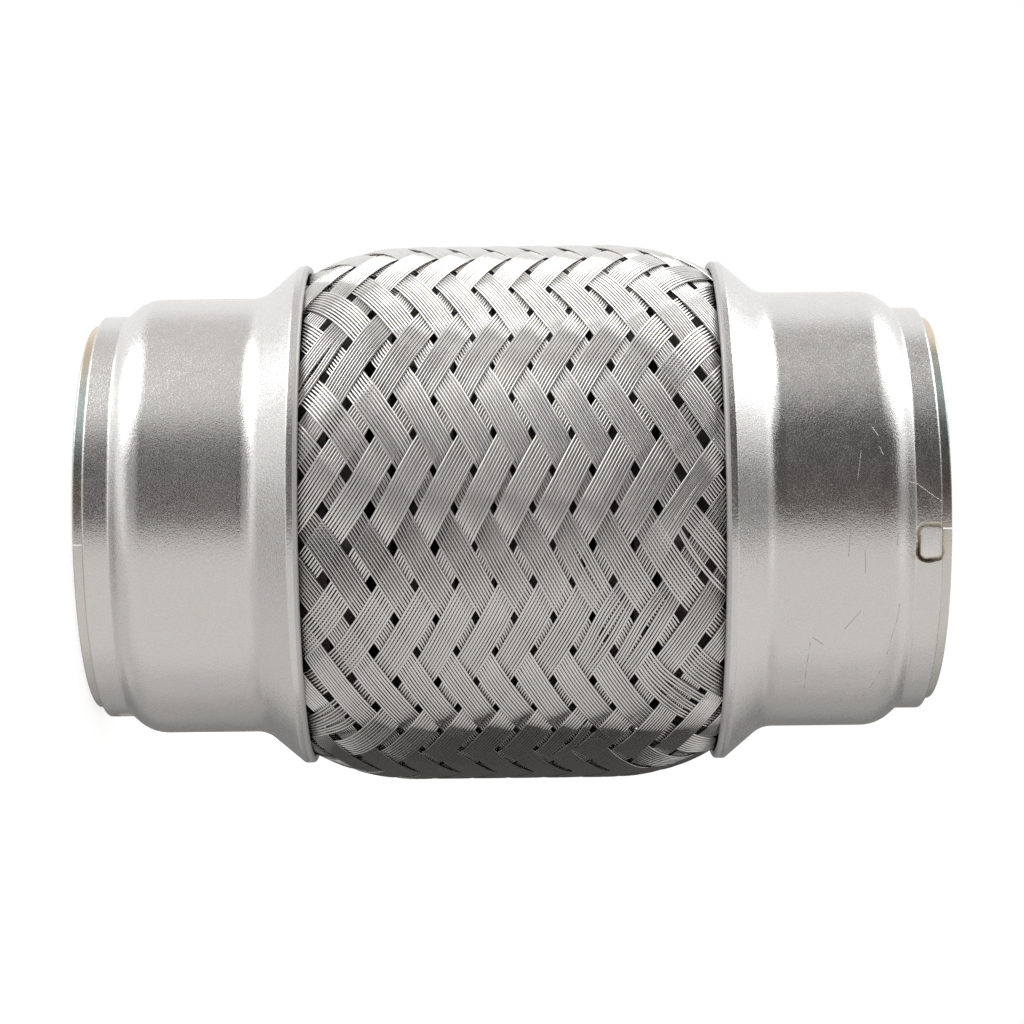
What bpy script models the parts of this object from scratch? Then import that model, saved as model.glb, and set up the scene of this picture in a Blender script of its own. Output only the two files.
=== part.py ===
"""Exhaust flex pipe: a braided flexible coupling with a 45 mm bore, 100 mm long.

It stands on its lower end ring, with the pipe's axis along Z and the origin in
the middle of the lower end face. From the bore outwards each end holds the end
ring, the liner, the bellows' cuff, the braid's cuff and the pressed end cap.
"""

import bmesh
import bpy
from math import ceil, cos, floor, hypot, pi, radians, sin, tan
from mathutils import Matrix, Vector

# Sizes, in metres
LENGTH = 0.100
BORE = 0.045
RING_WALL = 0.0006
RING_LENGTH = 0.0190
RING_STAND_OUT = 0.0012
RING_SEAM = 0.0003
CAP_WALL = 0.0009
CAP_LENGTH = 0.0249
NECK_LENGTH = 0.0030
NECK_ROUND = 0.0008
SHOULDER_ANGLE = radians(42)
SHOULDER_ROUND = 0.0050
FLARE_RISE = 0.0038
FLARE_ANGLE = radians(40)
FLARE_ROUND = 0.0030
LIP_LENGTH = 0.0009
LIP_ROUND = 0.0005
EDGE_ROUND = 0.0003
BRAID_DIAMETER = 0.0644
BRAID_WALL = 0.0010
BRAID_END_WALL = 0.00035
BRAID_STRAIGHT = 0.0220
BRAID_FALL = 2.2
BRAID_ANGLE = radians(63)
STRAND_COVER = 0.80
STRAND_CROWN = 0.00060
GAP_WIDTH = 0.0012
GAP_HEIGHT = 0.0006
BELLOWS_WALL = 0.00020
BELLOWS_INSET = 0.0021
CREST_CLEARANCE = 0.0003
LINER_WALL = 0.00020
LINER_PITCH = 0.0060
LINER_STEP = 0.0010
LINER_TAPER = 0.0020
LAYERS_INSET = 0.0010
FIT = 0.00015

# Counts
AROUND = 36
AROUND_INSIDE = 20
STRANDS_EACH_WAY = 24
GAPS_IN_A_ROW = 6
GAP_ROW = 2
CONVOLUTIONS = 6
LINING_BANDS = 6

# Height of a float's ends, as a share of its crown
FLOAT_END = 0.45

# Turns about the axis, from +X
RING_SEAM_TURNS = (radians(-82), radians(-84))
BRAID_TURN = radians(6.75 - 90)

MERGE = 0.00002


def flats(radius, around):
    """Corner radius of a turned shape whose flats lie at the radius."""
    return radius / cos(pi / around)


# Radii and heights that follow from the sizes
ring_outside = BORE / 2 + RING_WALL
liner_end_inside = flats(ring_outside + FIT, AROUND_INSIDE)
liner_outside = liner_end_inside + LINER_WALL
bellows_inside = flats(liner_outside + FIT, AROUND_INSIDE)
bellows_outside = bellows_inside + BELLOWS_WALL
braid_end_inside = flats(bellows_outside + FIT, STRANDS_EACH_WAY)
braid_end_outside = braid_end_inside + BRAID_END_WALL
cap_inside = flats(braid_end_outside + FIT, AROUND)
cap_outside = cap_inside + CAP_WALL
neck_inside = flats(ring_outside + FIT, AROUND)
neck_outside = neck_inside + CAP_WALL
lip_outside = cap_outside + FLARE_RISE
lip_inside = lip_outside - CAP_WALL
neck_foot = RING_STAND_OUT
neck_top = neck_foot + NECK_LENGTH
shoulder_top = neck_top + (cap_outside - neck_outside) / tan(SHOULDER_ANGLE)
layers_foot = shoulder_top + SHOULDER_ROUND * tan(SHOULDER_ANGLE / 2) + LAYERS_INSET
lip_edge = neck_foot + CAP_LENGTH
lip_foot = lip_edge - LIP_LENGTH
flare_foot = lip_foot - FLARE_RISE / tan(FLARE_ANGLE)
middle = LENGTH / 2
braid_half = middle - lip_edge


def clear_scene():
    for old in list(bpy.data.objects):
        bpy.data.objects.remove(old, do_unlink=True)


def new_collection(name):
    collection = bpy.data.collections.new(name)
    bpy.context.scene.collection.children.link(collection)
    return collection


def steel(name, colour, roughness):
    material = bpy.data.materials.new(name)
    material.use_nodes = True
    shader = material.node_tree.nodes["Principled BSDF"]
    shader.inputs["Base Color"].default_value = (*colour, 1.0)
    shader.inputs["Metallic"].default_value = 1.0
    shader.inputs["Roughness"].default_value = roughness
    material.diffuse_color = (*colour, 1.0)
    return material


def add_object(name, bm, collection, material):
    mesh = bpy.data.meshes.new(name)
    bm.to_mesh(mesh)
    bm.free()
    mesh.materials.append(material)
    piece = bpy.data.objects.new(name, mesh)
    collection.objects.link(piece)
    return piece


def smooth(piece, crease=radians(30)):
    piece.data.shade_smooth()
    piece.data.set_sharp_from_angle(angle=crease)


def rounded(corners):
    """Outline through (radius, height, round, steps) corners, each cut by an arc."""
    outline = []
    count = len(corners)
    for index, (r, z, round_off, steps) in enumerate(corners):
        here = Vector((r, z))
        if not round_off:
            outline.append(here)
            continue
        back = (Vector(corners[index - 1][:2]) - here).normalized()
        ahead = (Vector(corners[(index + 1) % count][:2]) - here).normalized()
        half = back.angle(ahead) / 2
        centre = here + (back + ahead).normalized() * round_off / sin(half)
        start = here + back * round_off / tan(half) - centre
        sweep = pi - 2 * half
        if start.x * ahead.y - start.y * ahead.x < 0:
            sweep = -sweep
        for step in range(steps + 1):
            turn = sweep * step / steps
            spoke = Vector((start.x * cos(turn) - start.y * sin(turn),
                            start.x * sin(turn) + start.y * cos(turn)))
            outline.append(centre + spoke)
    return outline


def profile_mesh(outline, closed):
    """Edges in the XZ plane through the (radius, height) points."""
    bm = bmesh.new()
    points = [bm.verts.new((r, 0.0, z)) for r, z in outline]
    for start, end in zip(points, points[1:]):
        bm.edges.new((start, end))
    if closed:
        bm.edges.new((points[-1], points[0]))
    return bm


def turn_about_axis(piece, around, angle=2 * pi):
    screw = piece.modifiers.new("Turned", "SCREW")
    screw.axis = "Z"
    screw.angle = angle
    screw.steps = around
    screw.render_steps = around
    screw.use_merge_vertices = angle == 2 * pi
    screw.merge_threshold = MERGE


def give_wall(piece, thickness):
    """Wall from the outer surface inwards."""
    wall = piece.modifiers.new("Wall", "SOLIDIFY")
    wall.thickness = thickness
    wall.offset = -1.0
    wall.use_even_offset = True


def end_ring(name, seam_turn, collection, material):
    """Strip rolled to a ring, its ends meeting at a butt seam."""
    bm = profile_mesh([(ring_outside, RING_LENGTH), (ring_outside, 0.0)], closed=False)
    opening = RING_SEAM / ring_outside
    bmesh.ops.rotate(bm, verts=bm.verts, matrix=Matrix.Rotation(seam_turn + opening / 2, 3, "Z"))
    ring = add_object(name, bm, collection, material)
    turn_about_axis(ring, AROUND, 2 * pi - opening)
    give_wall(ring, RING_WALL)
    smooth(ring)
    return ring


def cap_outline():
    """Pressed cup: neck, sloping shoulder, wide barrel, flare and short lip."""
    shoulder_shift = CAP_WALL * tan(SHOULDER_ANGLE / 2)
    flare_shift = CAP_WALL * tan(FLARE_ANGLE / 2)
    return rounded([
        (lip_outside, lip_edge, EDGE_ROUND, 1),
        (lip_outside, lip_foot, LIP_ROUND, 1),
        (cap_outside, flare_foot, FLARE_ROUND, 2),
        (cap_outside, shoulder_top, SHOULDER_ROUND, 2),
        (neck_outside, neck_top, NECK_ROUND, 1),
        (neck_outside, neck_foot, EDGE_ROUND, 1),
        (neck_inside, neck_foot, 0, 0),
        (neck_inside, neck_top + shoulder_shift, 0, 0),
        (cap_inside, shoulder_top + shoulder_shift, SHOULDER_ROUND - CAP_WALL, 1),
        (cap_inside, flare_foot + flare_shift, FLARE_ROUND + CAP_WALL, 1),
        (lip_inside, lip_foot + flare_shift, 0, 0),
        (lip_inside, lip_edge, 0, 0),
    ])


def end_cap(name, collection, material):
    cap = add_object(name, profile_mesh(cap_outline(), closed=True), collection, material)
    turn_about_axis(cap, AROUND)
    smooth(cap)
    return cap


def put_on_top(piece):
    """Turn an end piece over onto the upper end."""
    piece.location.z = LENGTH
    piece.rotation_euler.y = pi


def bellows_outline():
    """Open line down the outside: cuff, corrugations, cuff."""
    reach = braid_half - BELLOWS_INSET
    pitch = 2 * reach / CONVOLUTIONS
    braid_inside = (min(belly(0), belly(reach)) - BRAID_WALL) * cos(pi / STRANDS_EACH_WAY)
    crest = braid_inside - CREST_CLEARANCE
    top = middle + reach
    outline = [(bellows_outside, LENGTH - layers_foot)]
    for fold in range(CONVOLUTIONS):
        start = top - fold * pitch
        outline.append((bellows_outside, start - 0.10 * pitch))
        outline.append((crest, start - 0.28 * pitch))
        outline.append((crest, start - 0.72 * pitch))
        outline.append((bellows_outside, start - 0.90 * pitch))
    outline.append((bellows_outside, layers_foot))
    return outline


def bellows(collection, material):
    piece = add_object("bellows", profile_mesh(bellows_outline(), closed=False), collection, material)
    turn_about_axis(piece, AROUND_INSIDE)
    give_wall(piece, BELLOWS_WALL)
    smooth(piece)
    return piece


def ring_out(bm, edges, radius, height):
    """Extrude an open end to a circle of the radius, at the height."""
    grown = bmesh.ops.extrude_edge_only(bm, edges=edges)["geom"]
    for vert in (item for item in grown if isinstance(item, bmesh.types.BMVert)):
        stretch = radius / hypot(vert.co.x, vert.co.y)
        vert.co = (vert.co.x * stretch, vert.co.y * stretch, height)
    return [item for item in grown if isinstance(item, bmesh.types.BMEdge)]


def open_end(bm, upper):
    """The open edges at one end."""
    return [edge for edge in bm.edges
            if edge.is_boundary and (edge.verts[0].co.z > middle) == upper]


def liner(collection, material):
    """Strip wound on a helix, each turn lapping the next, with plain cuffs."""
    wound_foot = RING_LENGTH + 2 * LINER_TAPER
    turns = ceil((LENGTH - 2 * wound_foot) / LINER_PITCH) + 2
    foot = middle - (turns + 1) * LINER_PITCH / 2
    bm = profile_mesh([
        (liner_outside, foot + LINER_PITCH),
        (liner_outside - LINER_STEP, foot + 0.88 * LINER_PITCH),
        (liner_outside, foot),
    ], closed=False)
    bmesh.ops.spin(bm, geom=list(bm.verts) + list(bm.edges), axis=(0, 0, 1), cent=(0, 0, 0),
                   dvec=(0, 0, LINER_PITCH / AROUND_INSIDE), angle=2 * pi * turns,
                   steps=AROUND_INSIDE * turns)
    bmesh.ops.remove_doubles(bm, verts=bm.verts, dist=MERGE)
    for height, clear_above in ((wound_foot, False), (LENGTH - wound_foot, True)):
        bmesh.ops.bisect_plane(bm, geom=list(bm.verts) + list(bm.edges) + list(bm.faces),
                               dist=MERGE, plane_co=(0, 0, height), plane_no=(0, 0, 1),
                               clear_outer=clear_above, clear_inner=not clear_above)
    for upper in (False, True):
        edges = open_end(bm, upper)
        for height in (wound_foot - LINER_TAPER, layers_foot):
            edges = ring_out(bm, edges, liner_outside, LENGTH - height if upper else height)
    bmesh.ops.recalc_face_normals(bm, faces=bm.faces)
    piece = add_object("interlock_liner", bm, collection, material)
    give_wall(piece, LINER_WALL)
    smooth(piece)
    return piece


def belly(reach):
    """Braid's radius over its crowns, at a distance from mid-length."""
    tuck = lip_inside - FIT
    straight = BRAID_STRAIGHT / 2
    beyond = max(0.0, abs(reach) - straight) / (braid_half - straight)
    return BRAID_DIAMETER / 2 - (BRAID_DIAMETER / 2 - tuck) * beyond ** BRAID_FALL


def braid_pitch():
    """Distance along the axis between two rows of the lattice."""
    spacing = pi * BRAID_DIAMETER / STRANDS_EACH_WAY
    return spacing / 2 / tan(BRAID_ANGLE)


def float_of(i, j):
    """Float that tops the crossing of strand i one way and strand j the other.

    In a two-over, two-under weave the floats lie like the blocks of a
    herringbone floor, two crossings long.
    """
    place = (i + j) % 4
    if place < 2:
        return (i, j + 0.5 - place)
    return (i + 2.5 - place, j)


def braid_lattice():
    """Outer face of the braid: a herringbone of floats, wrapped round the barrel."""
    rows = 2 * STRANDS_EACH_WAY
    pitch = braid_pitch()
    half_rows = floor((braid_half - FIT) / pitch)
    side = 2 * (STRANDS_EACH_WAY + half_rows)
    centre = (STRANDS_EACH_WAY - 1) / 2
    bm = bmesh.new()
    bmesh.ops.create_grid(bm, x_segments=side, y_segments=side, size=side / 2)
    bmesh.ops.translate(bm, verts=bm.verts, vec=(centre, centre, 0))
    spare = [face for face in bm.faces
             if not 0 <= round(sum(face.calc_center_median().xy)) < rows]
    bmesh.ops.delete(bm, geom=spare, context="FACES")
    for way in (-1, 1):
        bmesh.ops.bisect_plane(bm, geom=list(bm.verts) + list(bm.edges) + list(bm.faces),
                               dist=0.001, plane_co=(-way * half_rows / 2, way * half_rows / 2, 0),
                               plane_no=(-way, way, 0), clear_outer=True)
    floats = {}
    for face in bm.faces:
        place = face.calc_center_median()
        floats.setdefault(float_of(round(place.x), round(place.y)), []).append(face)
    for (i, j), faces in floats.items():
        bmesh.ops.inset_region(bm, faces=faces, thickness=(1 - STRAND_COVER) / 2,
                               use_boundary=True, use_even_offset=True)
        for vert in {vert for face in faces for vert in face.verts}:
            run = vert.co.y - j if j != round(j) else vert.co.x - i
            vert.co.z = 1.0 if abs(run) < 0.25 else FLOAT_END
    for vert in bm.verts:
        reach = (vert.co.y - vert.co.x) * pitch
        turn = (vert.co.x + vert.co.y) * 2 * pi / rows + BRAID_TURN
        radius = belly(reach) - STRAND_CROWN * (1 - vert.co.z)
        vert.co = (radius * cos(turn), radius * sin(turn), middle + reach)
    bmesh.ops.remove_doubles(bm, verts=bm.verts, dist=MERGE)
    return bm


def braid_path(wall, end_radius):
    """Radii and heights from the edge of the lip to the end of the braid's cuff."""
    clear = (CAP_WALL + FIT) * tan(FLARE_ANGLE / 2)
    return [(lip_inside - FIT - wall, lip_edge), (end_radius, flare_foot + clear),
            (end_radius, layers_foot)]


def braid_skin(bm):
    """Take the lattice on into both caps, then back inside as a plain lining."""
    outside = braid_path(0.0, braid_end_outside)
    inside = braid_path(BRAID_WALL, braid_end_inside)
    for upper in (False, True):
        edges = open_end(bm, upper)
        for radius, height in outside:
            edges = ring_out(bm, edges, radius, LENGTH - height if upper else height)
    barrel = [braid_half * (2 * band / LINING_BANDS - 1) for band in range(1, LINING_BANDS)]
    path = inside[::-1]
    path += [(belly(reach) - BRAID_WALL, middle + reach) for reach in barrel]
    path += [(radius, LENGTH - height) for radius, height in inside]
    path += [(outside[-1][0], LENGTH - outside[-1][1])]
    edges = open_end(bm, upper=False)
    for radius, height in path:
        edges = ring_out(bm, edges, radius, height)
    bmesh.ops.remove_doubles(bm, verts=bm.verts, dist=MERGE)
    bmesh.ops.recalc_face_normals(bm, faces=bm.faces)


def braid(collection, cutters, material):
    """Braid as one wall: over-and-under strands outside, with gaps cut through."""
    bm = braid_lattice()
    braid_skin(bm)
    piece = add_object("outer_braid", bm, collection, material)
    cut = piece.modifiers.new("Gaps", "BOOLEAN")
    cut.operation = "DIFFERENCE"
    cut.solver = "EXACT"
    cut.object = braid_gaps(cutters, material)
    smooth(piece)
    return piece


def braid_gaps(cutters, material):
    """Diamond cutters where the weave leaves an open gap, one row in four."""
    rows = 2 * STRANDS_EACH_WAY
    pitch = braid_pitch()
    bm = bmesh.new()
    for row in range(GAP_ROW, rows, 4):
        stand = Matrix.Rotation(row * 2 * pi / rows + BRAID_TURN, 4, "Z")
        for place in range(GAPS_IN_A_ROW):
            reach = (2 * place - GAPS_IN_A_ROW + 1) * pitch
            bmesh.ops.create_cone(bm, cap_ends=True, segments=4, radius1=0.5, radius2=0.5,
                                  depth=4 * BRAID_WALL, matrix=stand
                                  @ Matrix.Translation((belly(reach), 0, middle + reach))
                                  @ Matrix.Rotation(pi / 2, 4, "Y")
                                  @ Matrix.Diagonal((GAP_HEIGHT, GAP_WIDTH, 1, 1)))
    cutter = add_object("braid_gap_cutter", bm, cutters, material)
    cutter.hide_render = True
    cutter.display_type = "WIRE"
    return cutter


def build():
    clear_scene()
    pipe = new_collection("exhaust_flex_pipe")
    cutters = new_collection("cutters")
    ring_steel = steel("ring_steel", (0.62, 0.59, 0.54), 0.32)
    cap_steel = steel("cap_steel", (0.66, 0.65, 0.63), 0.38)
    wire_steel = steel("wire_steel", (0.56, 0.55, 0.52), 0.30)
    inner_steel = steel("inner_steel", (0.50, 0.49, 0.47), 0.35)
    end_ring("lower_end_ring", RING_SEAM_TURNS[0], pipe, ring_steel)
    put_on_top(end_ring("upper_end_ring", pi - RING_SEAM_TURNS[1], pipe, ring_steel))
    end_cap("lower_end_cap", pipe, cap_steel)
    put_on_top(end_cap("upper_end_cap", pipe, cap_steel))
    bellows(pipe, inner_steel)
    liner(pipe, inner_steel)
    braid(pipe, cutters, wire_steel)


build()
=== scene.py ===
"""Dress the exhaust flex pipe in wires, pressed caps and rolled rings, and set up its studio."""

import bmesh
import bpy
from bpy.props import FloatProperty, FloatVectorProperty, IntProperty, PointerProperty
from math import cos, floor, hypot, pi, radians, sin, tan, tanh
from mathutils import Matrix, Vector
from random import Random
from typing import NamedTuple


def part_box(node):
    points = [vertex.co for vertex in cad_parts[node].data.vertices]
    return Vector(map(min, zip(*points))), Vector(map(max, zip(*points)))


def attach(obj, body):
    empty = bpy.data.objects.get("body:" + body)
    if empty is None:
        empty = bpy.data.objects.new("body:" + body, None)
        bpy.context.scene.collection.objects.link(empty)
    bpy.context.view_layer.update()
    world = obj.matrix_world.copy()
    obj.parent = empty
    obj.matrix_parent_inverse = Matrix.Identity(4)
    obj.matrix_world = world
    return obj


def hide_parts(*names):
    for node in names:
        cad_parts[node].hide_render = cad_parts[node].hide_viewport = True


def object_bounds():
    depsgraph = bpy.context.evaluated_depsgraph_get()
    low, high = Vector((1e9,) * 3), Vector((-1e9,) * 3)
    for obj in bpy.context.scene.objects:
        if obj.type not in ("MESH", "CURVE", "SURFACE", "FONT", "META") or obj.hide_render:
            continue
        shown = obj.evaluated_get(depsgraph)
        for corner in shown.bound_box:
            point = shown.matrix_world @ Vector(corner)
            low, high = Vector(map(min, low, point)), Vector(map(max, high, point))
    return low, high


bl_info = {
    "name": "Exhaust Flex Pipe",
    "version": (1, 0, 0),
    "blender": (4, 5, 0),
    "location": "3D View > Sidebar > Flex Pipe",
    "description": "Braided exhaust flex pipe with pressed end caps",
    "category": "Add Mesh",
}

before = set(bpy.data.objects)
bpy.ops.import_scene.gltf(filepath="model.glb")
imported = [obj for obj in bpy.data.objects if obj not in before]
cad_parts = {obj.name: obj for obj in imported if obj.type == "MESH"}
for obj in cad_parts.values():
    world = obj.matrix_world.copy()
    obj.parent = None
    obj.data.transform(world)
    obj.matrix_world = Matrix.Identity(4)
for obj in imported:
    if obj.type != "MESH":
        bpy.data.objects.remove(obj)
cad_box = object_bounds()

# Sizes taken from the frame
LENGTH = cad_box[1][2] - cad_box[0][2]
MIDDLE = (cad_box[1][2] + cad_box[0][2]) / 2
BRAID_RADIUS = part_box("outer_braid")[1][0]
LIP_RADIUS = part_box("lower_end_cap")[1][0]
NECK_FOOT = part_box("lower_end_cap")[0][2]
LIP_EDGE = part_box("lower_end_cap")[1][2]
RING_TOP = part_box("lower_end_ring")[1][2]

# Clearance between seated layers, how near points are one, and how fine the sheet's grain is
FIT = 0.00015
MERGE = 0.00001
SHEET_GRAIN = 6500


class CapSizes(bpy.types.PropertyGroup):
    wall: FloatProperty(name="Wall", description="Thickness of the pressed sheet",
                        default=0.0009, unit="LENGTH")
    barrel_radius: FloatProperty(name="Barrel radius", description="Outside of the wide part",
                                 default=0.02625, unit="LENGTH")
    neck_radius: FloatProperty(name="Neck radius", description="Outside of the neck",
                               default=0.02424, unit="LENGTH")
    neck_length: FloatProperty(name="Neck length", description="Straight part of the neck",
                               default=0.0030, unit="LENGTH")
    shoulder_angle: FloatProperty(name="Shoulder angle", description="Slope from neck to barrel",
                                  default=radians(42), subtype="ANGLE")
    shoulder_round: FloatProperty(name="Shoulder round", description="Bend at the barrel",
                                  default=0.0050, unit="LENGTH")
    flare_angle: FloatProperty(name="Flare angle", description="Slope from barrel to lip",
                               default=radians(40), subtype="ANGLE")
    flare_round: FloatProperty(name="Flare round", description="Bend at the foot of the flare",
                               default=0.0036, unit="LENGTH")
    lip_length: FloatProperty(name="Lip length", description="Band beyond the flare",
                              default=0.00125, unit="LENGTH", precision=5)
    nose_round: FloatProperty(name="Nose round", description="Outer edge of the lip",
                              default=0.0004, unit="LENGTH")
    lip_round: FloatProperty(name="Lip round", description="Bend from flare to lip",
                             default=0.0004, unit="LENGTH")
    neck_round: FloatProperty(name="Neck round", description="Bend from neck to shoulder",
                              default=0.0006, unit="LENGTH")
    edge_round: FloatProperty(name="Edge round", description="Outer edge of the neck",
                              default=0.0003, unit="LENGTH")
    inner_round: FloatProperty(name="Inner round", description="Inner edges of neck and lip",
                               default=0.0002, unit="LENGTH")
    around: IntProperty(name="Facets", description="Facets round the pipe", default=160)


class RingSizes(bpy.types.PropertyGroup):
    bore_radius: FloatProperty(name="Bore radius", description="Inside of the ring",
                               default=0.0225, unit="LENGTH")
    wall: FloatProperty(name="Wall", description="Thickness of the rolled strip",
                        default=0.0006, unit="LENGTH")
    edge_round: FloatProperty(name="Edge round", description="Rounding of the strip's edges",
                              default=0.00022, unit="LENGTH")
    seam: FloatProperty(name="Seam", description="Opening where the strip's ends meet",
                        default=0.00018, unit="LENGTH")
    lower_seam_turn: FloatProperty(name="Lower seam", description="Where the lower seam is",
                                   default=radians(-82), subtype="ANGLE")
    upper_seam_turn: FloatProperty(name="Upper seam", description="Where the upper seam is",
                                   default=radians(-84), subtype="ANGLE")


class BraidSizes(bpy.types.PropertyGroup):
    strands: IntProperty(name="Strands", description="Strands each way round", default=24)
    wires: IntProperty(name="Wires", description="Wires in a strand", default=9)
    wire_diameter: FloatProperty(name="Wire", description="Diameter of a wire",
                                 default=0.00031, unit="LENGTH", precision=5)
    wire_step: FloatProperty(name="Wire step", description="Between wires, as a share of a strand",
                             default=0.092)
    crimp: FloatProperty(name="Crimp", description="Rise and fall of a strand about its middle",
                         default=0.00018, unit="LENGTH", precision=5)
    angle: FloatProperty(name="Braid angle", description="From the axis",
                         default=radians(63), subtype="ANGLE")
    turn: FloatProperty(name="Turn", description="Turn of the weave about the axis",
                        default=radians(6.75), subtype="ANGLE")
    shift: FloatProperty(name="Shift", description="Shift of the weave along the axis",
                         default=-0.0020, unit="LENGTH", precision=5)
    spread: FloatProperty(name="Spread", description="How far the weave is drawn to each end",
                          default=0.0032, unit="LENGTH", precision=4)
    straight: FloatProperty(name="Straight", description="Length at full diameter",
                            default=0.0220, unit="LENGTH")
    fall: FloatProperty(name="Fall", description="How late the ends close in", default=2.2)
    tucked: FloatProperty(name="Tucked", description="Length hidden inside each flare",
                          default=0.0018, unit="LENGTH")
    samples: IntProperty(name="Samples", description="Points of a wire per crossing", default=6)
    crowding: FloatProperty(name="Crowding", description="How far wires keep together at the ends",
                            default=0.6)
    seed: IntProperty(name="Seed", description="Seed of the small unevenness", default=7)


class FinishColours(bpy.types.PropertyGroup):
    cap: FloatVectorProperty(name="Caps", description="Pressed sheet", subtype="COLOR",
                             size=3, default=(0.80, 0.785, 0.765))
    ring: FloatVectorProperty(name="Rings", description="Rolled strip", subtype="COLOR",
                              size=3, default=(0.78, 0.75, 0.70))
    wire: FloatVectorProperty(name="Wires", description="Braid wire", subtype="COLOR",
                              size=3, default=(0.81, 0.798, 0.775))
    inner: FloatVectorProperty(name="Inner layers", description="Liner and bellows",
                               subtype="COLOR", size=3, default=(0.50, 0.49, 0.47))
    # Painted shade: the bellows is coloured near black to stand for the shade it lies in under the
    # braid
    bellows_painted_shade: FloatVectorProperty(name="Bellows", description="Dull bellows under the braid",
                               subtype="COLOR", size=3, default=(0.14, 0.135, 0.13))
    burnt: FloatVectorProperty(name="Burnt", description="Edge of a spot weld",
                               subtype="COLOR", size=3, default=(0.06, 0.035, 0.025))
    fused: FloatVectorProperty(name="Fused", description="Middle of a weld, or a bright scratch",
                               subtype="COLOR", size=3, default=(0.93, 0.92, 0.90))
    sheared: FloatVectorProperty(name="Sheared", description="Cut edge of the lip",
                                 subtype="COLOR", size=3, default=(0.54, 0.53, 0.51))
    scored: FloatVectorProperty(name="Scored", description="Bottom of a scratch",
                                subtype="COLOR", size=3, default=(0.46, 0.44, 0.42))
    straw: FloatVectorProperty(name="Straw", description="Heat tint round a weld",
                               subtype="COLOR", size=3, default=(0.70, 0.60, 0.42))


class StudioSizes(bpy.types.PropertyGroup):
    camera_distance: FloatProperty(name="Camera distance", description="From the pipe's axis",
                                   default=0.3510, unit="LENGTH", precision=4)
    lens: FloatProperty(name="Lens", description="Focal length in millimetres", default=101.56)
    roll: FloatProperty(name="Roll", description="Tilt of the pipe in the picture",
                        default=radians(0.65), subtype="ANGLE")
    card_radius: FloatProperty(name="Card radius", description="Distance of the cards",
                               default=1.3, unit="LENGTH")
    floor_radius: FloatProperty(name="Floor radius", description="Round pale floor",
                                default=0.35, unit="LENGTH")
    floor_glow: FloatProperty(name="Floor glow", description="The floor's own light, as seen",
                              default=0.6)
    ambient: FloatProperty(name="Ambient", description="Strength of the light from all round",
                           default=0.65)
    box_power: FloatProperty(name="Box power", description="Power of each soft box",
                             default=3.0, unit="POWER")
    box_size: FloatProperty(name="Box size", description="Side of each soft box",
                            default=0.62, unit="LENGTH")
    box_distance: FloatProperty(name="Box distance", description="From the pipe's middle",
                                default=0.9, unit="LENGTH")


class FlexPipeSettings(bpy.types.PropertyGroup):
    cap: PointerProperty(type=CapSizes)
    ring: PointerProperty(type=RingSizes)
    braid: PointerProperty(type=BraidSizes)
    colours: PointerProperty(type=FinishColours)
    studio: PointerProperty(type=StudioSizes)


class LoosePlace(NamedTuple):
    """Length of a strand where some of its wires have worked loose, in rows of the weave."""
    way: int
    strand: int
    middle: float
    half_length: float
    wires: range
    aside: float
    outward: float = 0.0
    gathered: float = 0.0


LOOSE_PLACES = (
    LoosePlace(1, 22, 4.6, 1.0, range(0, 4), -0.030),
    LoosePlace(1, 22, 4.6, 1.0, range(4, 9), 0.020),
    LoosePlace(1, 22, 9.3, 1.5, range(0, 3), -0.130, 0.0002),
    LoosePlace(1, 22, 9.0, 1.4, range(3, 6), -0.050, 0.0001),
    LoosePlace(-1, 4, -5.8, 1.1, range(0, 4), -0.050),
    LoosePlace(-1, 4, -5.7, 1.1, range(4, 6), -0.010),
    LoosePlace(-1, 4, -5.6, 1.1, range(6, 9), 0.045),
    LoosePlace(-1, 5, -7.6, 1.2, range(0, 4), -0.050),
    LoosePlace(-1, 5, -7.6, 1.2, range(4, 9), 0.030),
    LoosePlace(-1, 5, -3.7, 1.2, range(0, 6), -0.040),
    LoosePlace(-1, 5, -3.7, 1.2, range(6, 9), 0.095),
    LoosePlace(-1, 4, -9.4, 1.9, range(0, 9), 0.010, 0.0005, 0.24),
    LoosePlace(-1, 4, -9.4, 1.9, range(0, 1), -0.010, 0.00012),
    LoosePlace(-1, 4, -9.0, 1.5, range(5, 6), 0.0, 0.00014),
    LoosePlace(-1, 23, 7.4, 1.3, range(0, 2), -0.030),
    LoosePlace(-1, 23, 7.4, 1.3, range(2, 6), 0.020),
    LoosePlace(-1, 23, 7.4, 1.3, range(6, 9), 0.090),
    LoosePlace(1, 19, 10.4, 1.7, range(0, 7), -0.070),
    LoosePlace(1, 19, 10.4, 1.7, range(7, 9), 0.090, 0.0001),
    LoosePlace(-1, 17, 8.6, 1.2, range(0, 6), -0.020),
    LoosePlace(-1, 17, 8.6, 1.2, range(6, 9), 0.050),
)

# Small unevenness, as how far and how many radians to a row of the weave
STRAND_WAVES = ((0.020, 0.6), (0.012, 1.9))
WIRE_WAVE = (0.0025, 1.3)
CRIMP_WAVE = (0.000006, 1.7)

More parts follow.
